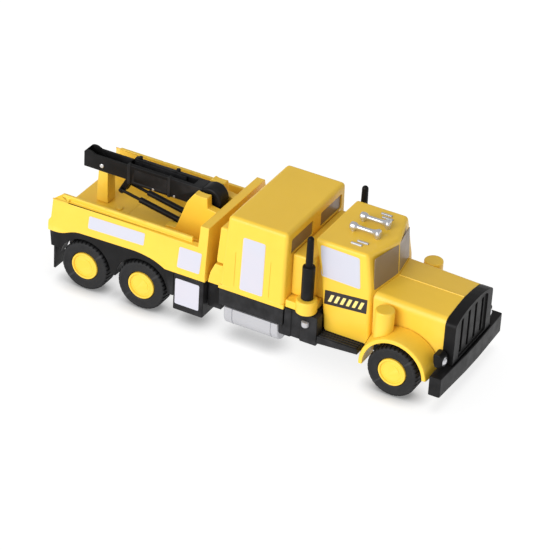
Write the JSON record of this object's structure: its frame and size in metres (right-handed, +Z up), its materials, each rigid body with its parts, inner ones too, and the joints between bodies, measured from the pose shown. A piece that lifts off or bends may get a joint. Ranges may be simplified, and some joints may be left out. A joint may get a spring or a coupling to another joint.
{
  "type": "toy tow truck",
  "caption": "Toy tow truck with a sleeper cab, a long hood, an open bed and a lifting boom that slides out, carried on rolling wheels.",
  "frame": {"origin": "middle of the footprint, on the ground under the tyres", "axes": "+X to the front bumper, +Y to the truck's left, +Z up"},
  "size_m": [0.302, 0.0946, 0.0967],
  "materials": {
    "yellow_plastic": "satin moulded plastic",
    "black_plastic": "satin moulded plastic",
    "silver_plastic": "silver painted plastic",
    "steel": "plain steel pin",
    "tyre_rubber": "matte soft plastic",
    "sticker": "printed paper sticker",
    "window": "printed window pane"
  },
  "bodies": {
    "truck": {"air_cleaner_left": "yellow_plastic", "air_cleaner_right": "yellow_plastic", "bed": "yellow_plastic", "bogie_cap": "black_plastic", "boom_pivot_pin": "steel", "boom_rest_post": "yellow_plastic", "boom_tower": "yellow_plastic", "bumper": "black_plastic", "cab": "yellow_plastic", "chassis": "black_plastic", "exhaust_left": "black_plastic", "exhaust_right": "black_plastic", "fender_left": "yellow_plastic", "fender_right": "yellow_plastic", "front_axle_cap": "black_plastic", "fuel_tank_left": "silver_plastic", "fuel_tank_right": "silver_plastic", "grille": "black_plastic", "headlight_left": "black_plastic", "headlight_right": "black_plastic", "hood": "yellow_plastic", "horn_left": "silver_plastic", "horn_right": "silver_plastic", "mudflap_left": "black_plastic", "mudflap_right": "black_plastic", "running_board_left": "black_plastic", "running_board_right": "black_plastic", "screw_front_left": "steel", "screw_front_right": "steel", "screw_rear_left": "steel", "screw_rear_right": "steel", "side_cap_left": "silver_plastic", "side_cap_right": "silver_plastic", "sleeper": "yellow_plastic", "stack_deck": "yellow_plastic", "strut_base_pin": "steel", "toolbox_left": "black_plastic", "toolbox_right": "black_plastic"},
    "boom": {"boom_sleeve": "black_plastic"},
    "boom_extension": {"boom_extension": "black_plastic", "boom_tip_pin": "steel"},
    "strut_barrels": {"strut_barrels": "black_plastic"},
    "strut_rods": {"strut_rods": "black_plastic"},
    "rear_wheelset": {"rear_axle": "steel", "rear_tyre_left": "tyre_rubber", "rear_tyre_right": "tyre_rubber", "rear_hub_left": "yellow_plastic", "rear_hub_right": "yellow_plastic"},
    "middle_wheelset": {"middle_axle": "steel", "middle_tyre_left": "tyre_rubber", "middle_tyre_right": "tyre_rubber", "middle_hub_left": "yellow_plastic", "middle_hub_right": "yellow_plastic"},
    "front_wheelset": {"front_axle": "steel", "front_tyre_left": "tyre_rubber", "front_tyre_right": "tyre_rubber", "front_hub_left": "yellow_plastic", "front_hub_right": "yellow_plastic"}
  },
  "joints": [
    {"name": "rear_axle_roll", "type": "hinge", "parent": "truck", "child": "rear_wheelset", "pos_m": [-0.1215, 0, 0.0183], "axis": [0, 1, 0], "continuous": true},
    {"name": "middle_axle_roll", "type": "hinge", "parent": "truck", "child": "middle_wheelset", "pos_m": [-0.0767, 0, 0.0183], "axis": [0, 1, 0], "continuous": true},
    {"name": "front_axle_roll", "type": "hinge", "parent": "truck", "child": "front_wheelset", "pos_m": [0.1135, 0, 0.0183], "axis": [0, 1, 0], "continuous": true},
    {"name": "boom_lift", "type": "hinge", "parent": "truck", "child": "boom", "pos_m": [-0.0483, 0, 0.0755], "axis": [0, 1, 0], "range_deg": [0, 40]},
    {"name": "boom_slide", "type": "slide", "parent": "boom", "child": "boom_extension", "axis": [-1, 0, 0], "range_m": [0, 0.028]},
    {"name": "strut_swing", "type": "hinge", "parent": "truck", "child": "strut_barrels", "pos_m": [-0.0645, 0, 0.0512], "axis": [0, 1, 0], "range_deg": [0, 41]},
    {"name": "strut_slide", "type": "slide", "parent": "strut_barrels", "child": "strut_rods", "axis": [-0.9825, 0, 0.1861], "range_m": [0, 0.0202]}
  ],
  "couplings": [
    {"joint": "strut_swing", "follows": "boom_lift", "ratio": 1.0202},
    {"joint": "strut_slide", "follows": "boom_lift", "m_per_rad": 0.028734}
  ]
}
